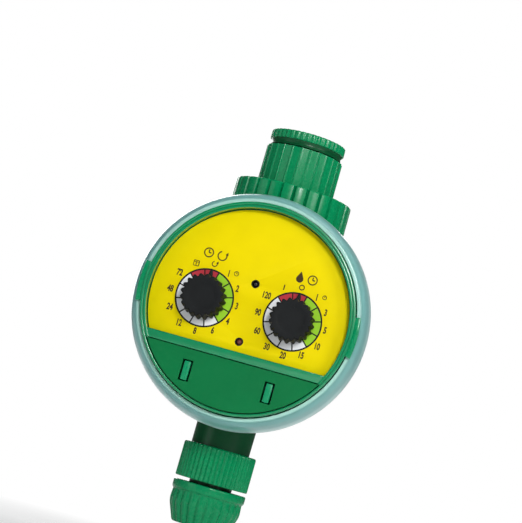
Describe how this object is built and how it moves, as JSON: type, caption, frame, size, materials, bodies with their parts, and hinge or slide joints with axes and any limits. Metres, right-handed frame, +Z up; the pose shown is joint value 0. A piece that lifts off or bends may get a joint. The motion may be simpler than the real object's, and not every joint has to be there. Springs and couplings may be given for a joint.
{
  "type": "drip irrigation timer",
  "caption": "Round tap-mounted irrigation timer with twin dials on a yellow face, battery drawer, geared motor ball valve, swivel inlet nut with reducer and hose outlet.",
  "frame": {"origin": "the middle of the rear case's flat back; the vertical water axis passes 20 mm in front of it", "axes": "+Z up along the water axis towards the tap inlet, -Y out of the dial face towards the reader, +X to the reader's right"},
  "size_m": [0.1, 0.0774, 0.1771],
  "materials": {
    "green_abs": "satin gloss",
    "dark_green_abs": "satin",
    "frosted_clear": "frosted translucent",
    "yellow_label": "printed satin",
    "black_plastic": "matte",
    "natural_plastic": "satin",
    "black_rubber": "matte",
    "zinc_steel": "brushed",
    "brass": "machined",
    "circuit_board": "solder mask",
    "lamp_red": "clear gloss",
    "cell_jacket": "printed film",
    "cable_jacket": "matte"
  },
  "bodies": {
    "case": {"board_screw_1": "zinc_steel", "board_screw_2": "zinc_steel", "board_screw_3": "zinc_steel", "case_screw_1": "zinc_steel", "case_screw_2": "zinc_steel", "case_screw_3": "zinc_steel", "case_screw_4": "zinc_steel", "case_seal": "black_rubber", "circuit_board": "circuit_board", "clear_ring": "frosted_clear", "control_cover": "dark_green_abs", "control_housing": "green_abs", "dial_plate": "yellow_label", "frequency_switch": "black_plastic", "gearbox_base": "black_plastic", "gearbox_lid": "black_plastic", "inlet_filter": "natural_plastic", "inlet_tail": "dark_green_abs", "inlet_washer": "black_rubber", "lower_ball_seat": "natural_plastic", "lower_lamp": "lamp_red", "motor": "zinc_steel", "motor_cable": "cable_jacket", "rear_case": "green_abs", "tail_o_ring": "black_rubber", "upper_ball_seat": "natural_plastic", "upper_lamp": "black_plastic", "valve_body": "dark_green_abs", "water_time_switch": "black_plastic"},
    "frequency_dial": {"frequency_knob": "black_plastic", "frequency_shaft": "zinc_steel"},
    "water_time_dial": {"water_time_knob": "black_plastic", "water_time_shaft": "zinc_steel"},
    "drawer": {"battery_drawer": "green_abs", "front_cell": "cell_jacket", "rear_cell": "cell_jacket", "left_contact": "zinc_steel", "right_front_contact": "zinc_steel", "right_rear_contact": "zinc_steel", "front_cell_spring": "zinc_steel", "rear_cell_spring": "zinc_steel"},
    "left_tab": {"left_release_tab": "green_abs"},
    "right_tab": {"right_release_tab": "green_abs"},
    "valve_rotor": {"valve_ball": "natural_plastic", "valve_stem": "brass", "stem_o_ring": "black_rubber", "output_gear": "natural_plastic"},
    "second_gear": {"second_gear": "natural_plastic"},
    "first_gear": {"first_gear": "natural_plastic"},
    "motor_rotor": {"motor_pinion": "brass"},
    "swivel_nut": {"swivel_nut": "green_abs"},
    "inlet_adapter": {"inlet_adapter": "green_abs", "adapter_washer": "black_rubber"},
    "tap_washer": {"tap_washer": "black_rubber"},
    "tap_reducer": {"tap_reducer": "green_abs"},
    "hose_tail": {"hose_tail": "dark_green_abs", "outlet_washer": "black_rubber"},
    "outlet_nut": {"outlet_nut": "green_abs"},
    "clamp_collet": {"clamp_collet": "natural_plastic"},
    "clamp_nut": {"clamp_nut": "green_abs"}
  },
  "joints": [
    {"name": "frequency_dial_turn", "type": "hinge", "parent": "case", "child": "frequency_dial", "pos_m": [-0.01885, -0.066, 0], "axis": [0, 1, 0], "range_deg": [0, 330]},
    {"name": "water_time_dial_turn", "type": "hinge", "parent": "case", "child": "water_time_dial", "pos_m": [0.01885, -0.066, 0], "axis": [0, 1, 0], "range_deg": [0, 330]},
    {"name": "drawer_slide", "type": "slide", "parent": "case", "child": "drawer", "axis": [0, -1, 0], "range_m": [0, 0.028]},
    {"name": "left_tab_press", "type": "hinge", "parent": "drawer", "child": "left_tab", "pos_m": [-0.0174, -0.0638, -0.0346], "axis": [-1, 0, 0], "range_deg": [0, 8]},
    {"name": "right_tab_press", "type": "hinge", "parent": "drawer", "child": "right_tab", "pos_m": [0.0174, -0.0638, -0.0346], "axis": [-1, 0, 0], "range_deg": [0, 8]},
    {"name": "valve_turn", "type": "hinge", "parent": "case", "child": "valve_rotor", "pos_m": [0, -0.04, 0], "axis": [0, 1, 0], "range_deg": [0, 90]},
    {"name": "second_gear_spin", "type": "hinge", "parent": "case", "child": "second_gear", "pos_m": [0.01575, -0.0405, 0], "axis": [0, 1, 0], "range_deg": [-288, 0]},
    {"name": "first_gear_spin", "type": "hinge", "parent": "case", "child": "first_gear", "pos_m": [0.02175, -0.039, 0.01039], "axis": [0, 1, 0], "range_deg": [0, 864]},
    {"name": "motor_spin", "type": "hinge", "parent": "case", "child": "motor_rotor", "pos_m": [0.02804, -0.038, 0.00262], "axis": [0, 1, 0], "range_deg": [-2592, 0]},
    {"name": "swivel_nut_turn", "type": "hinge", "parent": "case", "child": "swivel_nut", "pos_m": [0, -0.02, 0.05], "axis": [0, 0, -1], "range_deg": [0, 1260]},
    {"name": "adapter_lift", "type": "slide", "parent": "case", "child": "inlet_adapter", "axis": [0, 0, 1], "range_m": [0, 0.0082]},
    {"name": "reducer_lift", "type": "slide", "parent": "inlet_adapter", "child": "tap_washer", "axis": [0, 0, 1], "range_m": [0, 0.0128]},
    {"name": "reducer_turn", "type": "hinge", "parent": "tap_washer", "child": "tap_reducer", "pos_m": [0, -0.02, 0.075], "axis": [0, 0, 1], "range_deg": [0, 2520]},
    {"name": "outlet_drop", "type": "slide", "parent": "case", "child": "hose_tail", "axis": [0, 0, -1], "range_m": [0, 0.0128]},
    {"name": "outlet_nut_turn", "type": "hinge", "parent": "hose_tail", "child": "outlet_nut", "pos_m": [0, -0.02, -0.066], "axis": [0, 0, -1], "range_deg": [0, 2520]},
    {"name": "clamp_drop", "type": "slide", "parent": "hose_tail", "child": "clamp_collet", "axis": [0, 0, -1], "range_m": [0, 0.0081]},
    {"name": "clamp_nut_turn", "type": "hinge", "parent": "clamp_collet", "child": "clamp_nut", "pos_m": [0, -0.02, -0.084], "axis": [0, 0, -1], "range_deg": [0, 1440]}
  ],
  "couplings": [
    {"joint": "second_gear_spin", "follows": "valve_turn", "ratio": -3.2},
    {"joint": "first_gear_spin", "follows": "valve_turn", "ratio": 9.6},
    {"joint": "motor_spin", "follows": "valve_turn", "ratio": -28.8},
    {"joint": "adapter_lift", "follows": "swivel_nut_turn", "m_per_rad": 0.00036749},
    {"joint": "reducer_lift", "follows": "reducer_turn", "m_per_rad": 0.00028871},
    {"joint": "outlet_drop", "follows": "outlet_nut_turn", "m_per_rad": 0.00028871},
    {"joint": "clamp_drop", "follows": "clamp_nut_turn", "m_per_rad": 0.00031831}
  ]
}
